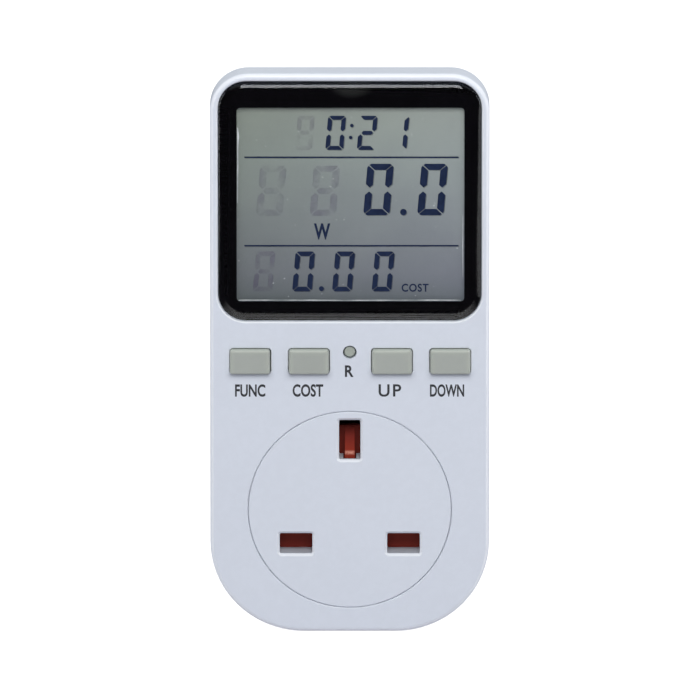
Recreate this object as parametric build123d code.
from build123d import *
import os

# Plug-in power meter: pass-through mains energy meter, three rectangular pins
# behind, one shuttered three-pin outlet, a display and five keys in front.
#
# Frame, millimetres: origin on the wall-contact face, midway between the line
# and neutral pins. +X to the viewer's right, +Y into the wall, +Z up.


def pair(x, z):
    """Left and right (x, z) places, mirrored about the centre line."""
    return [(-x, z), (x, z)]


# ---------------------------------------------------------------- dimensions
# Sizes of rounded rectangles are (width, height, corner radius).
SIDES = (-1, 1)         # left, right
PIN_X = 11.1            # line / neutral offset from the centre line
EARTH_Z = 22.2          # earth above the line-neutral row
LIVE = pair(PIN_X, 0)   # neutral and line places

# Casing
DEPTH = 38.0            # front face to wall-contact face
HALF_W = 28.8
Z_BOT, Z_TOP = -18.9, 100.3
R_TOP, R_BOT = 8.0, 19.25
WALL = 2.0
Y_FACE = -DEPTH
Y_IN = Y_FACE + WALL    # inside of the front wall
Y_PART = -27.0          # parting line between the shells
Y_BACK = -8.0           # flat rear wall of the rear shell
Y_BACK_IN = -10.5
Y_TOP = -32.2           # the top is flat back to here, then slopes to the rear wall
Z_PART = 98.66          # top of the casing at the parting line
LABEL_Z = 66

# Display
LENS_W, LENS_H, LENS_R = 54.3, 51.05, 5.8
LENS_Z = 73.13
LENS_FLOOR = -36.9
LENS_FRONT = -38.7
LENS_RIM = LENS_FRONT + 1.2
BORDER_T = 0.15
VIEW = (0.15, 72.25, 46.9, 41.3, 0.8)   # x, z, size of the clear area

# Keys
KEY_Z = 39.1
KEY_WIN = (8.58, 5.5, 0.75)
KEY_CAP = (8.26, 5.22, 0.6)
KEY_PROUD = 1.2
FLANGE_BACK = -35.1
PLUNGER = (-34.2, -31.5)                # y range of a switch plunger
# name: (x of the opening, shift of the key within it)
KEYS = {"func": (-20.5, -0.10), "cost": (-8.4, -0.04), "up": (8.7, 0.0), "down": (20.7, 0.04)}
RESET_Z, RESET_R = 41.0, 1.42

# Outlet
SOCKET_Z, SOCKET_R = 7.3, 20.95
SLOT_LN = (6.75, 4.33)
SLOT_E = (4.42, 8.43)
SLOT_R = 0.35
Y_COLLAR = -32.8        # rear end of the slot collars
Y_GUIDE = -30.6         # rear of the shutter guide
Y_COVER = -29.4         # rear of the contact cover
Y_CARRIER = -13.4       # rear of the contact carrier
SHUTTER_TRAVEL = 5.8

# Pins and conductors
PIN_LN = (6.35, 3.97, 17.7)             # width, height, length
PIN_E = (3.97, 7.95, 22.7)
PIN_R = 0.7
PIN_SEAT = -4.0                         # front of the pin flanges
SLEEVE_END = 9.5
SLEEVE_T = 0.6
SHEET = 0.8                             # thickness of the metal straps
LINK_FRONT = PIN_SEAT - SHEET

# Circuit boards
BOARD_T = 1.6
BOARD_FRONT = -30.1
BOARD_BACK = BOARD_FRONT + BOARD_T
POWER_FRONT = -14.6
POWER_BACK = POWER_FRONT + BOARD_T

# Screws
UPPER_Z = 45.3
LOWER_SCREWS = pair(18.6, -8.4)
UPPER_SCREWS = pair(22.4, UPPER_Z)
SHELL_SCREWS = LOWER_SCREWS + UPPER_SCREWS
BOARD_SCREWS = pair(14.5, 45.4)
POWER_SCREWS = pair(18.0, 38.0) + pair(18.0, 86.0)
CARRIER_SCREWS = pair(12.5, 12.5)
SHELL_SEAT = -20.0                      # y under the heads of the shell screws
CARRIER_SEAT = -24.0

OUT = "parts"
os.makedirs("parts", exist_ok=True)


# ------------------------------------------------------------------- helpers
def block(x0, x1, y0, y1, z0, z1):
    centre = Pos((x0 + x1) / 2, (y0 + y1) / 2, (z0 + z1) / 2)
    return centre * Box(abs(x1 - x0), abs(y1 - y0), abs(z1 - z0))


def rod_x(y, z, radius, x0, x1):
    return Pos((x0 + x1) / 2, y, z) * (Rot(0, 90, 0) * Cylinder(radius, abs(x1 - x0)))


def rod_y(x, z, radius, y0, y1):
    return Pos(x, (y0 + y1) / 2, z) * (Rot(90, 0, 0) * Cylinder(radius, abs(y1 - y0)))


def rod_z(x, y, radius, z0, z1):
    return Pos(x, y, (z0 + z1) / 2) * Cylinder(radius, abs(z1 - z0))


def add_posts(part, places, radius, y0, y1):
    for x, z in places:
        part += rod_y(x, z, radius, y0, y1)
    return part


def bore(part, places, radius, y0, y1):
    for x, z in places:
        part -= rod_y(x, z, radius, y0, y1)
    return part


def face_plane(y):
    """Local x is X, local y is Z, normal is -Y."""
    return Plane(origin=(0, y, 0), x_dir=(1, 0, 0), z_dir=(0, -1, 0))


def prism(sketch, y0, y1):
    """Solid from y0 to y1 of a sketch drawn in (X, Z)."""
    return extrude(face_plane(y1) * sketch, amount=y1 - y0)


def rounded(x, z, width, height, radius):
    return Pos(x, z) * RectangleRounded(width, height, radius)


def slab(x, z, width, height, radius, y0, y1):
    return prism(rounded(x, z, width, height, radius), y0, y1)


def tapered(x, z, width, height, radius, y, depth, angle):
    """Rounded rectangle at y that shrinks towards +Y."""
    plane = Plane(origin=(x, y, z), x_dir=(1, 0, 0), z_dir=(0, 1, 0))
    return extrude(plane * RectangleRounded(width, height, radius), amount=depth, taper=angle)


def flare(x, z, width, height, radius, depth, grow):
    """Cutter for a 45 degree chamfer round a hole in the front face."""
    return tapered(x, z, width + 2 * grow, height + 2 * grow, radius + grow, Y_FACE, depth, 45)


def outline(half_w, z_bottom, z_top, r_top, r_bottom):
    sketch = Pos(0, (z_bottom + z_top) / 2) * Rectangle(2 * half_w, z_top - z_bottom)
    sketch = fillet(sketch.vertices().sort_by(Axis.Y)[:2], r_bottom)
    top = [v for v in sketch.vertices().sort_by(Axis.Y) if abs(v.Y - z_top) < 1e-6]
    return fillet(top, r_top)


def section(y, *sizes):
    return face_plane(y) * outline(*sizes)


def front_edges(part):
    return part.faces().sort_by(Axis.Y)[0].edges()


def back_edges(part):
    return part.faces().sort_by(Axis.Y)[-1].edges()


def poly_x(points, x0, x1):
    """Polygon of (y, z) points, extruded along X."""
    face = make_face(Polyline([(x0, y, z) for y, z in points], close=True))
    return extrude(face, amount=x1 - x0, dir=(1, 0, 0))


def save(name, shape):
    shape.label = name
    export_step(shape, os.path.join(OUT, name + ".step"))


# ------------------------------------------------------------- front housing
CASING = (HALF_W, Z_BOT, Z_TOP, R_TOP, R_BOT)
PARTING = (HALF_W, Z_BOT, Z_PART, R_TOP, R_BOT)
LENS_HOLE = (0, LENS_Z, LENS_W + 0.2, LENS_H + 0.2, LENS_R + 0.1)
CAVITY = (HALF_W - WALL, Z_BOT + WALL, Z_TOP - 2.8, R_TOP - WALL + 0.2, R_BOT - WALL)
THROUGH_FACE = (Y_FACE - 1, Y_IN + 1)
BOSS_ROOT = Y_IN - 0.2      # bosses start inside the wall so that they merge
PILOT_FRONT = -35.0         # blind end of the screw holes

front = prism(outline(*CASING), Y_FACE, Y_TOP)
front = fillet(front_edges(front), 0.95)
front += loft([section(Y_TOP, *CASING), section(Y_PART, *PARTING)], ruled=True)
front -= prism(outline(*CAVITY), Y_IN, Y_PART + 1)
front -= slab(*LENS_HOLE, Y_FACE - 2, LENS_FLOOR)
front -= flare(*LENS_HOLE, 0.3, 0.28)
front -= slab(0, VIEW[1] + 0.05, 48.0, 42.5, 1.2, LENS_FLOOR - 0.5, Y_IN + 0.5)
for x, _ in KEYS.values():
    front -= slab(x, KEY_Z, *KEY_WIN, *THROUGH_FACE)
    front -= flare(x, KEY_Z, *KEY_WIN, 0.2, 0.14)
front -= rod_y(0, RESET_Z, RESET_R, *THROUGH_FACE)
front -= rod_y(0, SOCKET_Z, SOCKET_R + 0.09, *THROUGH_FACE)
socket_chamfer = Rot(90, 0, 0) * Cone(SOCKET_R + 0.05, SOCKET_R + 0.29, 0.2)
front -= Pos(0, Y_FACE + 0.099, SOCKET_Z) * socket_chamfer
front = add_posts(front, SHELL_SCREWS, 2.5, BOSS_ROOT, Y_PART)
front = add_posts(front, BOARD_SCREWS, 1.9, BOSS_ROOT, BOARD_FRONT)
rib_limit = prism(outline(HALF_W - 0.5, Z_BOT + 0.5, Z_TOP, 7, R_BOT - 0.5), Y_IN - 1, Y_PART)
for s in SIDES:
    # snap hooks that hold the upper edge of the display board
    front += block(s * 9, s * 15, BOSS_ROOT, -27.9, 96.3, 96.95)
    front += block(s * 9, s * 15, -28.45, -27.9, 95.75, 96.4)
    # gusset ribs from the lower screw bosses to the side walls
    front += block(s * 20.9, s * 26.9, BOSS_ROOT, -29.6, -8.2, -7.2) & rib_limit
front = bore(front, SHELL_SCREWS, 1.3, PILOT_FRONT, Y_PART + 1)
front = bore(front, BOARD_SCREWS, 0.9, PILOT_FRONT, BOARD_FRONT + 1)
save("front_housing", front)

# -------------------------------------------------------------- rear housing
REAR_WALL = (HALF_W - 3.4, Z_BOT + 2.0, Z_TOP - 7.5, 7.0, 14.0)
BOSS_Z = 12.0               # centre of the block that reaches the wall

rear = loft([section(Y_PART, *PARTING), section(Y_BACK, *REAR_WALL)], ruled=True)
rear = fillet(back_edges(rear), 0.7)
boss = tapered(0, BOSS_Z, 48.8, 49.8, 8, Y_BACK - 1, -Y_BACK + 1, 3)
rear += fillet(back_edges(boss), 0.8)
# tongue that enters the front shell, then one tapering cavity through both
rear += prism(outline(26.7, -16.8, 97.4, 6.1, 17.15), -29.0, Y_PART + 0.5)
rear -= loft([section(-29.5, 25.95, -16.05, 96.65, 5.3, 16.4),
              section(Y_BACK_IN, 23.75, -15.1, 91.5, 5.0, 12.4)], ruled=True)
for s in SIDES:
    # room for the snap hooks
    rear -= block(s * 8.3, s * 15.7, -29.6, Y_PART, 95.0, 98.0)
rear -= slab(0, BOSS_Z, 42.8, 44.4, 5.0, Y_BACK_IN - 0.5, -2.5)
rear = add_posts(rear, LOWER_SCREWS, 3.1, Y_PART, -0.9)
rear = add_posts(rear, UPPER_SCREWS, 3.1, Y_PART, Y_BACK - 0.6)
rear = add_posts(rear, POWER_SCREWS, 2.2, POWER_BACK, Y_BACK_IN + 0.3)
for s in SIDES:
    # ribs that press the contact carrier forward
    rear += block(s * 5.0, s * 6.4, Y_CARRIER, -2.3, 6, 13)
# clearance for the shanks, then for the heads
rear = bore(rear, SHELL_SCREWS, 1.5, Y_PART - 1, SHELL_SEAT + 1)
rear = bore(rear, LOWER_SCREWS, 2.3, SHELL_SEAT, 1)
rear = bore(rear, UPPER_SCREWS, 2.3, SHELL_SEAT, Y_BACK + 1)
rear = bore(rear, POWER_SCREWS, 0.85, POWER_BACK - 1, -9.2)
for x, z, (width, height, _) in [(*LIVE[0], PIN_LN), (*LIVE[1], PIN_LN), (0, EARTH_Z, PIN_E)]:
    rear -= slab(x, z, width + 0.1, height + 0.1, 0.85, -4, 1)
# shallow recess for the rating label
rear -= slab(0, LABEL_Z, 36, 34, 2.0, Y_BACK - 0.25, Y_BACK + 1)
save("rear_housing", rear)

save("rating_label", slab(0, LABEL_Z, 35.6, 33.6, 1.8, Y_BACK - 0.25, Y_BACK - 0.1))

# ------------------------------------------------------------ display window
LENS = (0, LENS_Z, LENS_W, LENS_H, LENS_R)
# (depth behind the front, inset from the rim): slopes that steepen towards the rim
LENS_EDGE = [(0.0, 2.15), (0.06, 1.75), (0.18, 1.25), (0.38, 0.75),
             (0.66, 0.34), (1.0, 0.08), (1.2, 0.0)]

lens_sections = []
for depth, inset in reversed(LENS_EDGE):
    shape = rounded(0, LENS_Z, LENS_W - 2 * inset, LENS_H - 2 * inset, LENS_R - inset)
    lens_sections.append(face_plane(LENS_FRONT + depth) * shape)
dome = loft(lens_sections, ruled=True)
save("display_window", slab(*LENS, LENS_RIM, LENS_FLOOR - BORDER_T) + dome)

border = slab(*LENS, LENS_FLOOR - BORDER_T, LENS_FLOOR)
border -= slab(*VIEW, LENS_FLOOR - 1, LENS_FLOOR + 1)
save("window_border", border)

# ----------------------------------------------------------------- LCD stack
LCD_X = 24.2                # half width of the glass
LCD_TOP = 94.7
LCD_FRONT = -35.9
# layer: (front, back, bottom)
LCD_LAYERS = {
    "lcd_front_glass": (LCD_FRONT, -35.2, 49.6),
    "lcd_rear_glass": (-35.2, -34.5, 51.5),
    "lcd_reflector": (-34.5, -34.3, 51.5),
}
for name, (y0, y1, z0) in LCD_LAYERS.items():
    save(name, block(-LCD_X, LCD_X, y0, y1, z0, LCD_TOP))

lcd_frame = slab(0, 71.95, 51.0, 47.3, 2.0, LCD_FRONT, BOARD_FRONT)
lcd_frame -= block(-24.3, 24.3, -37, -29, 49.5, 94.8)
shelf = block(-24.8, 24.8, -34.3, -33.3, 51.45, 95.2)
shelf -= block(-22.5, 22.5, -35, -33, 52.6, 93.2)
save("lcd_frame", lcd_frame + shelf)
save("zebra_strip", block(-21.0, 21.0, -35.2, BOARD_FRONT, 49.7, 51.3))

# ------------------------------------------------------------- display board
THROUGH_BOARD = (-31, -28)

board = prism(outline(25.2, 33.8, 96.2, 4.0, 2.0), BOARD_FRONT, BOARD_BACK)
for s in SIDES:
    # notches round the upper shell screw bosses
    board -= block(s * 19.4, s * 26, *THROUGH_BOARD, UPPER_Z - 3, UPPER_Z + 3)
board = bore(board, BOARD_SCREWS, 1.1, *THROUGH_BOARD)
save("display_board", board)

blob = rod_y(0, 75, 6.0, BOARD_BACK, BOARD_BACK + 1.3)
save("controller_blob", fillet(back_edges(blob), 1.2))

crystal = fillet(rod_x(BOARD_BACK + 1.05, 66, 1.05, 9.0, 15.2).edges(), 0.3)
for rise in (0.7, 1.3):
    crystal += rod_x(BOARD_BACK + rise, 66, 0.2, 15.1, 17.5)
save("clock_crystal", crystal)

# coin cell with a shallow groove round its edge, and the strap over it
BATT_X, BATT_Z = -15, 60
BATT_BACK = -23.1
STRAP_T = 0.4
STRAP_BACK = BATT_BACK + STRAP_T
STRAP_Z = (58.2, 61.8)
battery = fillet(rod_y(BATT_X, BATT_Z, 6.2, BOARD_BACK + STRAP_T, BATT_BACK).edges(), 0.5)
battery -= rod_y(BATT_X, BATT_Z, 6.5, -25.9, -25.7) - rod_y(BATT_X, BATT_Z, 6.05, -26.5, -25)
save("backup_battery", battery)
strap = block(-22.6, -7.4, BATT_BACK, STRAP_BACK, *STRAP_Z)
strap += block(-22.6, -22.2, BOARD_BACK, STRAP_BACK, *STRAP_Z)
strap += block(-7.8, -7.4, BOARD_BACK, STRAP_BACK, *STRAP_Z)
strap += block(-20.5, -9.5, BOARD_BACK, BOARD_BACK + STRAP_T, *STRAP_Z)
save("battery_strap", strap)


# ---------------------------------------------------------- keys and switches
def switch_body(x, z):
    body = block(x - 3, x + 3, -33.4, BOARD_FRONT, z - 3, z + 3)
    body = fillet(body.edges().filter_by(Axis.Y), 0.4)
    body -= rod_y(x, z, 1.70, -34, -30.9)
    for s in SIDES:
        for t in SIDES:
            leg_z = z + t * 2.25
            body += block(x + s * 3, x + s * 3.6, -30.9, BOARD_FRONT, leg_z - 0.35, leg_z + 0.35)
    return body


def key(x, z):
    cap_back = -35.95
    cap = slab(x, z, *KEY_CAP, Y_FACE - KEY_PROUD, cap_back)
    cap = fillet(front_edges(cap), 0.55)
    flange = slab(x, z, 9.9, 6.8, 0.8, cap_back, FLANGE_BACK)
    stem = rod_y(x, z, 2.3, FLANGE_BACK, PLUNGER[0])
    rib = block(x - 3.4, x + 3.4, FLANGE_BACK, -34.6, z - 0.4, z + 0.4)
    return cap + flange + stem + rib


def reset_button():
    button = rod_y(0, RESET_Z, 1.15, -37.55, -35.9)
    button = fillet(front_edges(button), 0.35)
    button += rod_y(0, RESET_Z, 2.4, -35.9, FLANGE_BACK)
    return button + rod_y(0, RESET_Z, 1.5, FLANGE_BACK, PLUNGER[0])


buttons = {name: (x + shift, KEY_Z) for name, (x, shift) in KEYS.items()}
for name, place in buttons.items():
    save("button_" + name, key(*place))
save("button_reset", reset_button())
buttons["reset"] = (0, RESET_Z)
for name, place in buttons.items():
    save("switch_plunger_" + name, rod_y(*place, 1.65, *PLUNGER))
save("switch_bodies", Compound(children=[switch_body(*place) for place in buttons.values()]))

# ------------------------------------------------------------ outlet faceplate
PLATE_ROOT = Y_IN - 0.2
THROUGH_PLATE = (Y_FACE - 1, Y_COLLAR + 1)

plate = rod_y(0, SOCKET_Z, SOCKET_R, Y_FACE, Y_IN)
plate = chamfer(front_edges(plate), 0.18)
# two overlapping rings behind the disc
plate += (rod_y(0, SOCKET_Z, 21.8, Y_IN, Y_IN + 1.2)
          - rod_y(0, SOCKET_Z, 19.4, Y_IN - 0.1, Y_IN + 2))
plate += (rod_y(0, SOCKET_Z, 19.6, PLATE_ROOT, Y_IN + 1.2)
          - rod_y(0, SOCKET_Z, 18.2, Y_IN - 0.3, Y_IN + 2))
# collars round the slots
for x, z in LIVE:
    plate += slab(x, z, SLOT_LN[0] + 2.6, SLOT_LN[1] + 2.6, 1.0, PLATE_ROOT, Y_COLLAR)
collar = slab(0, EARTH_Z - 2.2, SLOT_E[0] + 2.8, SLOT_E[1] + 7.0, 1.0, PLATE_ROOT, Y_COLLAR)
plate += collar & rod_y(0, SOCKET_Z, 20.6, Y_IN - 1, Y_COLLAR + 1)
plate = add_posts(plate, CARRIER_SCREWS, 3.0, PLATE_ROOT, Y_COLLAR)
for x, z, size in [(*LIVE[0], SLOT_LN), (*LIVE[1], SLOT_LN), (0, EARTH_Z, SLOT_E)]:
    plate -= slab(x, z, *size, SLOT_R, *THROUGH_PLATE)
    plate -= flare(x, z, *size, SLOT_R, 0.55, 0.5)
# relief for the shutter's ramp below the earth slot
plate -= block(-1.35, 1.35, -36.8, Y_COLLAR + 1, 17.3 - SHUTTER_TRAVEL, EARTH_Z - 2)
plate = bore(plate, CARRIER_SCREWS, 1.3, -36.6, Y_COLLAR + 1)
save("socket_faceplate", plate)

# ------------------------------------------------------------------- shutter
SHUTTER_Y = (-32.6, -30.8)
SPRING_Y = sum(SHUTTER_Y) / 2
SHUTTER_BOT = -3.2
SPRING_FLOOR = -14.7
PEG_R = 0.72                # pegs that centre the spring
THROUGH_GUIDE = (-34, -30)
# (y, z) side view of the ramp in front of the shutter
RAMP = [(-32.7, 17.75), (-36.3, 17.75), (-36.5, 17.95), (-36.5, 19.05),
        (-36.25, 19.5), (-32.6, 23.85), (-32.3, 23.85), (-32.3, 17.75)]

shutter = block(-14.75, 14.75, *SHUTTER_Y, SHUTTER_BOT, 2.9)
shutter += block(-4.2, 4.2, *SHUTTER_Y, SHUTTER_BOT, 33.4)
opening_z = EARTH_Z + SHUTTER_TRAVEL
shutter -= block(-2.4, 2.4, *THROUGH_GUIDE, opening_z - 4.1, opening_z + 4.1)
shutter += poly_x(RAMP, -1.0, 1.0)
shutter += rod_z(0, SPRING_Y, PEG_R, -4.7, -3.1)
for s in SIDES:
    # two shallow grooves in the rear of each blade
    for z0, z1 in ((-1.9, -0.9), (0.6, 1.6)):
        shutter -= block(s * 6.0, s * 14.0, -31.2, -30.7, z0, z1)
save("shutter", shutter)

guide = slab(0, 7.5, 34.8, 39.0, 8.0, Y_COLLAR, Y_GUIDE)
guide += block(-6.5, 6.5, Y_COLLAR, Y_GUIDE, 20, 35.2)
guide += block(-4.5, 4.5, Y_COLLAR, Y_GUIDE, -15.6, -8)
# running space for the blades, the stem and the spring
guide -= block(-14.87, 14.87, *THROUGH_GUIDE, SHUTTER_BOT - 0.15 - SHUTTER_TRAVEL, 3.05)
guide -= block(-4.3, 4.3, *THROUGH_GUIDE, 2.0, 33.7)
guide -= block(-2.0, 2.0, *THROUGH_GUIDE, SPRING_FLOOR, -8.0)
guide += rod_z(0, SPRING_Y, PEG_R, -14.8, -13.6)
guide = bore(guide, CARRIER_SCREWS, 1.3, *THROUGH_GUIDE)
guide = bore(guide, LOWER_SCREWS, 2.75, *THROUGH_GUIDE)     # clears the shell's bosses
save("shutter_guide", guide)

# return spring, an evenly pitched coil
COIL_R, WIRE_R, TURNS = 0.89, 0.15, 9
coil_bottom = SPRING_FLOOR + 0.2
coil_height = SHUTTER_BOT - 0.2 - coil_bottom
helix = Helix(pitch=coil_height / TURNS, height=coil_height, radius=COIL_R,
              center=(0, SPRING_Y, coil_bottom))
wire = Plane(origin=helix @ 0, z_dir=helix % 0) * Circle(WIRE_R)
save("shutter_spring", sweep(wire, path=helix, is_frenet=True))

# ----------------------------------------------------- contact cover and carrier
CARRIER = (0, 11.5, 34.4, 39.0, 5.0)    # x, z, size
THROUGH_COVER = (-31, -29)
THROUGH_CARRIER = (-30, -13)

cover = slab(*CARRIER, Y_GUIDE, Y_COVER)
carrier = slab(*CARRIER, Y_COVER, Y_CARRIER)
for x, z in LIVE:
    cover -= slab(x, z, 7.0, 4.6, 0.5, *THROUGH_COVER)
    carrier -= block(x - 4.5, x + 4.5, *THROUGH_CARRIER, -3.9, 3.9)
cover -= slab(0, EARTH_Z, 4.6, 8.6, 0.5, *THROUGH_COVER)
carrier -= block(-3.9, 3.9, *THROUGH_CARRIER, EARTH_Z - 4.9, EARTH_Z + 4.9)
cover = bore(cover, CARRIER_SCREWS, 1.3, *THROUGH_COVER)
carrier = bore(carrier, CARRIER_SCREWS, 1.35, *THROUGH_CARRIER)
carrier = bore(carrier, CARRIER_SCREWS, 2.4, CARRIER_SEAT, -13)
for s in SIDES:
    carrier -= block(s * 17.3, s * 16.4, -27, -16, 8, 24)
save("contact_cover", cover)
save("contact_carrier", carrier)


# ------------------------------------------------------------------ contacts
def leaf_points(root_y, lip):
    """(y, distance from the pin's centre) of a leaf; lip is its (inner, outer) front end."""
    return [(root_y, 2.4), (-19.5, 2.62), (-24.6, 2.08), (-25.8, 2.08), (-28.7, lip[0]),
            (-28.7, lip[1]), (-28.2, lip[1]), (-25.7, 2.84), (-24.7, 2.84),
            (-19.5, 3.42), (root_y, 3.2)]


def live_contact(x):
    points = leaf_points(-15.0, (2.95, 3.78))
    contact = poly_x(points, x - 3.6, x + 3.6)
    contact += poly_x([(y, -z) for y, z in points], x - 3.6, x + 3.6)
    return contact + block(x - 3.6, x + 3.6, -15.2, -14.4, -3.2, 3.2)


def earth_leaf(side):
    points = [(side * x, y, EARTH_Z - 3.8) for y, x in leaf_points(-14.6, (2.7, 3.5))]
    return extrude(make_face(Polyline(points, close=True)), amount=7.6, dir=(0, 0, 1))


TAB_BACK = POWER_BACK + SHEET           # straps lie on the rear of the power board
TAB_TOP = 36.6

line_contact = live_contact(PIN_X)
line_contact += block(7.6, 11.0, -14.5, TAB_BACK, 2.4, 3.2)
line_contact += block(7.6, 11.0, POWER_BACK, TAB_BACK, 2.4, TAB_TOP)
save("line_contact", line_contact)

neutral_contact = live_contact(-PIN_X)
neutral_contact += block(-PIN_X - 1.6, -PIN_X + 1.6, -14.5, LINK_FRONT, 1.9, 2.7)
save("neutral_contact", neutral_contact)

earth_contact = earth_leaf(1) + earth_leaf(-1)
earth_contact += block(-3.2, 3.2, -14.6, -13.8, EARTH_Z - 3.8, EARTH_Z + 3.8)
earth_contact += block(-1.6, 1.6, -14.0, LINK_FRONT, EARTH_Z + 2.0, EARTH_Z + 2.8)
save("earth_contact", earth_contact)


# ------------------------------------------------------------ pins and links
def sleeve_core(x, z, width, height, y0, y1):
    return slab(x, z, width - 2 * SLEEVE_T, height - 2 * SLEEVE_T, 0.4, y0, y1)


def pin(x, z, width, height, length, sleeved):
    tip = 1.3
    shaft_start = SLEEVE_END if sleeved else -2.6
    part = slab(x, z, width, height, PIN_R, shaft_start, length - tip)
    part += tapered(x, z, width, height, PIN_R, length - tip, tip, 24)
    if sleeved:
        part += sleeve_core(x, z, width, height, -2.6, SLEEVE_END + 0.1)
    part += slab(x, z, width + 2.6, height + 2.6, 0.8, PIN_SEAT, -2.5)
    return part + rod_y(x, z, 1.4, -5.5, PIN_SEAT)


def sleeve(x):
    width, height, _ = PIN_LN
    part = slab(x, 0, width, height, PIN_R, -2.5, SLEEVE_END)
    return part - sleeve_core(x, 0, width, height, -3, SLEEVE_END + 1)


def live_link(s, inner_x):
    """Strap from a pin up and forward to the power board."""
    x0, x1 = s * inner_x, s * 15.2
    link = block(s * 7.4, x1, LINK_FRONT, PIN_SEAT, -3, 3)
    link += block(x0, x1, LINK_FRONT, PIN_SEAT, 0, 33.6)
    link += block(x0, x1, POWER_BACK, PIN_SEAT, 32.8, 33.6)
    link += block(x0, x1, POWER_BACK, TAB_BACK, 32.8, TAB_TOP)
    return link - rod_y(s * PIN_X, 0, 1.45, -5, -3.9)


for name, s, inner_x in (("line", 1, 11.9), ("neutral", -1, 13.2)):
    save(name + "_pin", pin(s * PIN_X, 0, *PIN_LN, True))
    save(name + "_pin_sleeve", sleeve(s * PIN_X))
    save(name + "_link", live_link(s, inner_x))
save("earth_pin", pin(0, EARTH_Z, *PIN_E, False))
earth_link = slab(0, EARTH_Z, 6.6, 10.4, 0.8, LINK_FRONT, PIN_SEAT)
save("earth_link", earth_link - rod_y(0, EARTH_Z, 1.45, -5, -3.9))

shunt = block(8.4, 9.3, -20.8, POWER_FRONT, 34.2, 36.4)
shunt += block(13.1, 14.0, -20.8, POWER_FRONT, 34.2, 36.4)
shunt += block(8.4, 14.0, -20.8, -19.9, 34.2, 36.4)
shunt = fillet(shunt.edges().filter_by(Axis.Z).group_by(Axis.Y)[0], 0.8)
save("current_shunt", shunt)

# --------------------------------------------------------------- power board
THROUGH_POWER = (-16, -12)
LEAD_R = 0.35

power = prism(outline(21.5, 33.0, 90.0, 2.0, 1.0), POWER_FRONT, POWER_BACK)
for s in SIDES:
    power -= block(s * 18.9, s * 22, *THROUGH_POWER, UPPER_Z - 3.5, UPPER_Z + 3.5)
power = bore(power, POWER_SCREWS, 1.1, *THROUGH_POWER)
save("power_board", power)

film_cap = block(-19.5, -1.5, POWER_FRONT - 11.5, POWER_FRONT, 74.0, 83.0)
save("film_capacitor", fillet(film_cap.edges(), 0.5))

can = rod_y(11.5, 79.5, 4.0, POWER_FRONT - 11.0, POWER_FRONT)
can = fillet(front_edges(can), 0.6)
can -= (rod_y(11.5, 79.5, 5, POWER_FRONT - 1.9, POWER_FRONT - 1.5)
        - rod_y(11.5, 79.5, 3.75, POWER_FRONT - 3, POWER_FRONT))
save("electrolytic_capacitor", can)

varistor = fillet(rod_x(-20.3, 66, 4.9, 12.0, 15.6).edges(), 1.2)
varistor += rod_z(13.1, -15.0, LEAD_R, 62.5, 62.9)
for x, z in ((13.1, 63.2), (14.5, 68.8)):
    varistor += rod_y(x, z, LEAD_R, -17.5, POWER_FRONT)
save("varistor", varistor)

# (radius, x0, x1): body, two end caps, lead
resistor = Part()
RESISTOR = [(1.6, -13.2, -4.8), (1.95, -13.6, -11.6), (1.95, -6.4, -4.4), (LEAD_R, -15.5, -2.5)]
for radius, x0, x1 in RESISTOR:
    resistor += rod_x(-17.0, 68.0, radius, x0, x1)
for x in (-15.4, -2.6):
    resistor += rod_y(x, 68.0, LEAD_R, -17.0, POWER_FRONT)
save("dropper_resistor", resistor)


def diode(x, z):
    y = POWER_FRONT - 1.6
    part = rod_z(x, y, 1.2, z - 2.4, z + 2.4) + rod_z(x, y, LEAD_R, z - 3.6, z + 3.6)
    for s in SIDES:
        part += rod_y(x, z + s * 3.4, LEAD_R, y, POWER_FRONT)
    return part


diodes = [diode(x, z) for x in (1.2, 4.8) for z in (62.0, 71.0)]
save("rectifier_diodes", Compound(children=diodes))

chip = block(-16.5, -1.5, POWER_FRONT - 2.5, POWER_FRONT - 0.2, 40.4, 47.6)
chip = chamfer(chip.edges().filter_by(Axis.X), 0.25)
chip -= rod_y(-15.3, 41.6, 0.6, POWER_FRONT - 3, POWER_FRONT - 2.3)
for i in range(12):
    x = -15.7 + i * 1.27
    # (depth of the rear side, z0, z1): two shoulders, then two feet
    for back, z0, z1 in ((0.95, 39.7, 40.6), (0.95, 47.4, 48.3), (0, 39.5, 39.75), (0, 48.25, 48.5)):
        chip += block(x - 0.2, x + 0.2, POWER_FRONT - 1.2, POWER_FRONT - back, z0, z1)
save("metering_chip", chip)

# -------------------------------------------------- flat cable and its headers
CABLE_Z = 55.0


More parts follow.
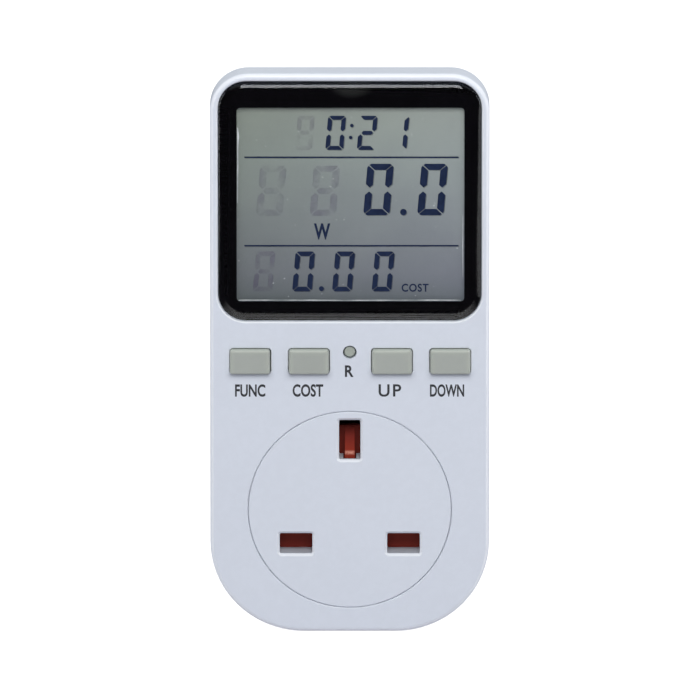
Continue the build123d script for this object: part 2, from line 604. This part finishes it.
def header(y, s):
    """Header on the board face at y, facing s along Y."""
    body = block(-6.6, 6.6, y, y + s * 2.2, CABLE_Z - 1.6, CABLE_Z + 1.6)
    return body - block(-6.0, 6.0, y + s * 1.2, y + s * 3, CABLE_Z - 0.6, CABLE_Z + 0.6)


save("cable_headers", Compound(children=[header(BOARD_BACK, 1), header(POWER_FRONT, -1)]))
# (y, rise above CABLE_Z) along the cable
CABLE = [(-27.2, 0), (-24.0, 0.6), (-21.5, -2.0), (-19.0, -0.6), (-15.9, 0)]
path = Spline([(0, y, CABLE_Z + rise) for y, rise in CABLE], tangents=[(0, 1, 0), (0, 1, 0)])
ribbon = Plane(origin=path @ 0, x_dir=(1, 0, 0), z_dir=path % 0) * Rectangle(11.6, 0.5)
save("ribbon_cable", sweep(ribbon, path=path))


# -------------------------------------------------------------------- screws
def cross_screw(x, z, y_head, head_h, head_r, shank_r, y_tip):
    """Pan-head cross-recess screw along Y, with its head seated at y_head."""
    s = 1 if y_tip < y_head else -1     # side of the seat the head is on
    y_top = y_head + s * head_h
    head = rod_y(x, z, head_r, y_head, y_top)
    head = fillet(head.edges().sort_by(Axis.Y)[-1 if s > 0 else 0], head_h * 0.45)
    shank_end = y_tip + s * 0.8
    screw = head + rod_y(x, z, shank_r, y_head, shank_end)
    screw += rod_y(x, z, shank_r * 0.6, shank_end, y_tip)
    recess = (y_top - s * head_h * 0.55, y_top + s * 0.2)
    arm_w, arm_l = head_r * 0.24, head_r * 1.1
    screw -= block(x - arm_w, x + arm_w, *recess, z - arm_l, z + arm_l)
    return screw - block(x - arm_l, x + arm_l, *recess, z - arm_w, z + arm_w)


# name: (places, seat y, head height, head radius, shank radius, tip y)
SCREWS = {
    "housing_screws": (SHELL_SCREWS, SHELL_SEAT, 1.7, 2.15, 1.24, -34.4),
    "board_screws": (BOARD_SCREWS, BOARD_BACK, 1.1, 1.75, 0.85, -34.4),
    "carrier_screws": (CARRIER_SCREWS, CARRIER_SEAT, 1.6, 2.15, 1.24, -36.2),
    "power_board_screws": (POWER_SCREWS, POWER_FRONT, 1.1, 1.75, 0.8, -9.6),
}
for name, (places, *sizes) in SCREWS.items():
    save(name, Compound(children=[cross_screw(x, z, *sizes) for x, z in places]))
